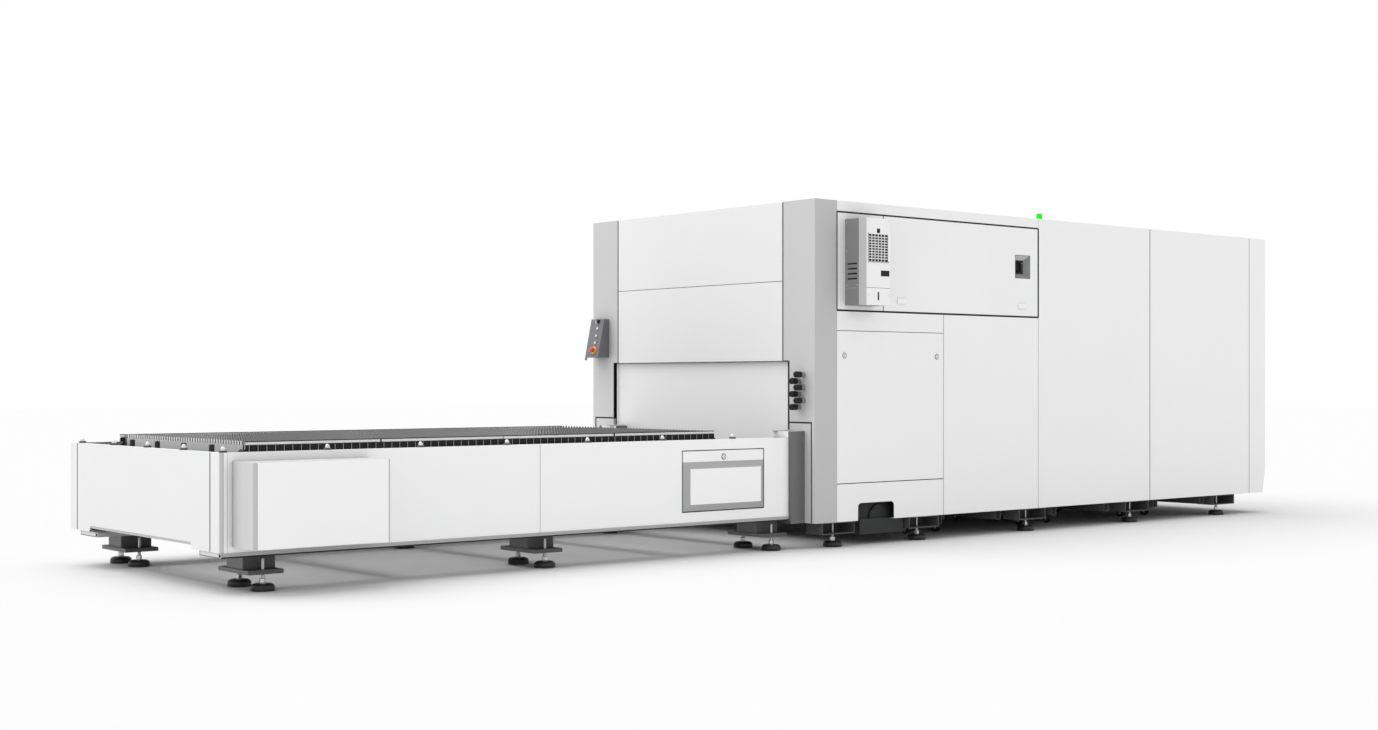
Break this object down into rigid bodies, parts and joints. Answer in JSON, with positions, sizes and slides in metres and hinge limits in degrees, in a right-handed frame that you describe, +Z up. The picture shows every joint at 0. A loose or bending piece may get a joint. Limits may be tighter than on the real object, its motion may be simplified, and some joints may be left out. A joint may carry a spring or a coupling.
{
  "type": "fiber laser cutting machine",
  "caption": "Enclosed laser sheet cutter: closed hall with cabinet, cooling unit and lift door, and an exchange table whose slatted pallets swap places through it.",
  "frame": {"origin": "on the floor, under the middle of the whole machine", "axes": "+X from the exchange table to the far end of the hall, +Y from the cabinet side to the operator side, +Z up"},
  "size_m": [8.97, 2.483, 2.266],
  "materials": {
    "white_paint": "satin powder coat",
    "grey_paint": "satin powder coat",
    "dark_paint": "satin paint",
    "steel": "rolled and laser-cut steel",
    "bright_metal": "polished",
    "black_plastic": "matt",
    "grey_plastic": "matt",
    "white_plastic": "gloss",
    "red_plastic": "gloss",
    "green_plastic": "gloss, translucent",
    "rubber": "matt",
    "window": "tinted laser-safe pane"
  },
  "bodies": {
    "machine": {"corner_pillars": "grey_paint", "hall_covers": "white_paint", "far_end_hood": "white_paint", "roof_covers": "grey_paint", "cabinet_shell": "grey_paint", "cabinet_modules": "grey_plastic", "cooler_housing": "grey_paint", "cooler_front": "white_paint", "control_box": "grey_paint", "control_plate": "dark_paint", "cable_glands": "black_plastic", "signal_lamp": "green_plastic", "base_frame": "dark_paint", "foot_pads": "black_plastic", "foot_studs": "bright_metal", "machine_bed": "dark_paint", "guide_rails": "steel", "laser_source": "grey_paint", "table_covers": "white_paint", "motor_cover": "white_paint", "flap_locker": "grey_paint", "table_frame": "dark_paint", "table_brackets": "dark_paint", "transition_guards": "dark_paint", "ball_units": "bright_metal", "pallet_buffers": "rubber"},
    "upper_pallet": {"upper_pallet_frame": "dark_paint", "upper_pallet_slats": "steel"},
    "lower_pallet": {"lower_pallet_frame": "dark_paint", "lower_pallet_slats": "steel"},
    "lift_door": {"lift_door": "white_paint"},
    "gantry": {"gantry_beam": "grey_paint"},
    "carriage": {"head_carriage": "dark_paint"},
    "head": {"cutting_head": "steel"},
    "cabinet_door": {"cabinet_door": "white_paint", "isolator_cup": "black_plastic"},
    "isolator_knob": {"isolator_knob": "black_plastic"},
    "cabinet_latch_left": {"cabinet_latch_left": "white_plastic"},
    "cabinet_latch_right": {"cabinet_latch_right": "white_plastic"},
    "access_door": {"access_door": "white_paint"},
    "access_lock_left": {"access_lock_left": "bright_metal"},
    "access_lock_right": {"access_lock_right": "bright_metal"},
    "tool_flap": {"tool_flap": "white_paint"},
    "flap_lock": {"flap_lock": "bright_metal"},
    "start_button": {"start_button": "white_plastic"},
    "exchange_button": {"exchange_button": "white_plastic"},
    "reset_button": {"reset_button": "white_plastic"},
    "stop_button": {"stop_button": "red_plastic"},
    "key_switch": {"key_switch": "bright_metal"},
    "operator_door": {"operator_door": "white_paint", "door_window": "window"},
    "tray_1": {"scrap_tray_1": "dark_paint"},
    "tray_1_front_wheels": {"tray_wheels_1_front": "black_plastic"},
    "tray_1_rear_wheels": {"tray_wheels_1_rear": "black_plastic"},
    "tray_2": {"scrap_tray_2": "dark_paint"},
    "tray_2_front_wheels": {"tray_wheels_2_front": "black_plastic"},
    "tray_2_rear_wheels": {"tray_wheels_2_rear": "black_plastic"},
    "tray_3": {"scrap_tray_3": "dark_paint"},
    "tray_3_front_wheels": {"tray_wheels_3_front": "black_plastic"},
    "tray_3_rear_wheels": {"tray_wheels_3_rear": "black_plastic"}
  },
  "joints": [
    {"name": "upper_pallet_travel", "type": "slide", "parent": "machine", "child": "upper_pallet", "axis": [1, 0, 0], "range_m": [0, 4.203]},
    {"name": "lower_pallet_travel", "type": "slide", "parent": "machine", "child": "lower_pallet", "axis": [1, 0, 0], "range_m": [-4.203, 0]},
    {"name": "lift_door_travel", "type": "slide", "parent": "machine", "child": "lift_door", "axis": [0, 0, 1], "range_m": [0, 0.8]},
    {"name": "gantry_travel", "type": "slide", "parent": "machine", "child": "gantry", "axis": [1, 0, 0], "range_m": [0, 3]},
    {"name": "carriage_travel", "type": "slide", "parent": "gantry", "child": "carriage", "axis": [0, 1, 0], "range_m": [0, 1.5]},
    {"name": "head_lift", "type": "slide", "parent": "carriage", "child": "head", "axis": [0, 0, 1], "range_m": [-0.235, 0.15]},
    {"name": "cabinet_door_hinge", "type": "hinge", "parent": "machine", "child": "cabinet_door", "pos_m": [0.835, -1.0685, 2.124], "axis": [-1, 0, 0], "range_deg": [0, 100]},
    {"name": "isolator_turn", "type": "hinge", "parent": "cabinet_door", "child": "isolator_knob", "pos_m": [1.4495, -1.0385, 1.853], "axis": [0, -1, 0], "range_deg": [0, 90]},
    {"name": "cabinet_latch_left_turn", "type": "hinge", "parent": "cabinet_door", "child": "cabinet_latch_left", "pos_m": [0.2245, -1.0685, 1.578], "axis": [0, -1, 0], "range_deg": [0, 90]},
    {"name": "cabinet_latch_right_turn", "type": "hinge", "parent": "cabinet_door", "child": "cabinet_latch_right", "pos_m": [1.443, -1.0685, 1.578], "axis": [0, -1, 0], "range_deg": [0, 90]},
    {"name": "access_door_hinge", "type": "hinge", "parent": "machine", "child": "access_door", "pos_m": [0.13, -1.0685, 0.4035], "axis": [1, 0, 0], "range_deg": [0, 80]},
    {"name": "access_lock_left_turn", "type": "hinge", "parent": "access_door", "child": "access_lock_left", "pos_m": [-0.3025, -1.0685, 1.217], "axis": [0, -1, 0], "range_deg": [0, 90]},
    {"name": "access_lock_right_turn", "type": "hinge", "parent": "access_door", "child": "access_lock_right", "pos_m": [0.5625, -1.0685, 1.217], "axis": [0, -1, 0], "range_deg": [0, 90]},
    {"name": "tool_flap_hinge", "type": "hinge", "parent": "machine", "child": "tool_flap", "pos_m": [-1.2205, -0.9535, 0.275], "axis": [1, 0, 0], "range_deg": [0, 80]},
    {"name": "flap_lock_turn", "type": "hinge", "parent": "tool_flap", "child": "flap_lock", "pos_m": [-1.2205, -0.9535, 0.5965], "axis": [0, -1, 0], "range_deg": [0, 90]},
    {"name": "start_button_press", "type": "slide", "parent": "machine", "child": "start_button", "axis": [0.9786, 0, -0.2057], "range_m": [0, 0.003], "stiffness_N_per_m": 800, "springref_m": -0.002},
    {"name": "exchange_button_press", "type": "slide", "parent": "machine", "child": "exchange_button", "axis": [0.9786, 0, -0.2057], "range_m": [0, 0.003], "stiffness_N_per_m": 800, "springref_m": -0.002},
    {"name": "reset_button_press", "type": "slide", "parent": "machine", "child": "reset_button", "axis": [0.9786, 0, -0.2057], "range_m": [0, 0.003], "stiffness_N_per_m": 800, "springref_m": -0.002},
    {"name": "stop_button_press", "type": "slide", "parent": "machine", "child": "stop_button", "axis": [0.9786, 0, -0.2057], "range_m": [0, 0.005], "stiffness_N_per_m": 1500, "springref_m": -0.003},
    {"name": "key_switch_turn", "type": "hinge", "parent": "machine", "child": "key_switch", "pos_m": [-0.6107, 1.1085, 1.48239], "axis": [-0.9786, 0, 0.2057], "range_deg": [0, 90]},
    {"name": "operator_door_travel", "type": "slide", "parent": "machine", "child": "operator_door", "axis": [1, 0, 0], "range_m": [0, 1.12]},
    {"name": "tray_1_roll", "type": "slide", "parent": "machine", "child": "tray_1", "axis": [0, -1, 0], "range_m": [0, 0.9]},
    {"name": "tray_1_front_wheels_turn", "type": "hinge", "parent": "tray_1", "child": "tray_1_front_wheels", "pos_m": [0.853, -0.6585, 0.038], "axis": [1, 0, 0], "range_deg": [0, 1360]},
    {"name": "tray_1_rear_wheels_turn", "type": "hinge", "parent": "tray_1", "child": "tray_1_rear_wheels", "pos_m": [0.853, -0.0485, 0.038], "axis": [1, 0, 0], "range_deg": [0, 1360]},
    {"name": "tray_2_roll", "type": "slide", "parent": "machine", "child": "tray_2", "axis": [0, -1, 0], "range_m": [0, 0.9]},
    {"name": "tray_2_front_wheels_turn", "type": "hinge", "parent": "tray_2", "child": "tray_2_front_wheels", "pos_m": [2.065, -0.6585, 0.038], "axis": [1, 0, 0], "range_deg": [0, 1360]},
    {"name": "tray_2_rear_wheels_turn", "type": "hinge", "parent": "tray_2", "child": "tray_2_rear_wheels", "pos_m": [2.065, -0.0485, 0.038], "axis": [1, 0, 0], "range_deg": [0, 1360]},
    {"name": "tray_3_roll", "type": "slide", "parent": "machine", "child": "tray_3", "axis": [0, -1, 0], "range_m": [0, 0.9]},
    {"name": "tray_3_front_wheels_turn", "type": "hinge", "parent": "tray_3", "child": "tray_3_front_wheels", "pos_m": [3.277, -0.6585, 0.038], "axis": [1, 0, 0], "range_deg": [0, 1360]},
    {"name": "tray_3_rear_wheels_turn", "type": "hinge", "parent": "tray_3", "child": "tray_3_rear_wheels", "pos_m": [3.277, -0.0485, 0.038], "axis": [1, 0, 0], "range_deg": [0, 1360]}
  ],
  "couplings": [
    {"joint": "lower_pallet_travel", "follows": "upper_pallet_travel", "ratio": -1},
    {"joint": "lift_door_travel", "follows": "upper_pallet_travel", "ratio": 0.19},
    {"joint": "tray_1_front_wheels_turn", "follows": "tray_1_roll", "rad_per_m": 26.316},
    {"joint": "tray_1_rear_wheels_turn", "follows": "tray_1_roll", "rad_per_m": 26.316},
    {"joint": "tray_2_front_wheels_turn", "follows": "tray_2_roll", "rad_per_m": 26.316},
    {"joint": "tray_2_rear_wheels_turn", "follows": "tray_2_roll", "rad_per_m": 26.316},
    {"joint": "tray_3_front_wheels_turn", "follows": "tray_3_roll", "rad_per_m": 26.316},
    {"joint": "tray_3_rear_wheels_turn", "follows": "tray_3_roll", "rad_per_m": 26.316}
  ]
}
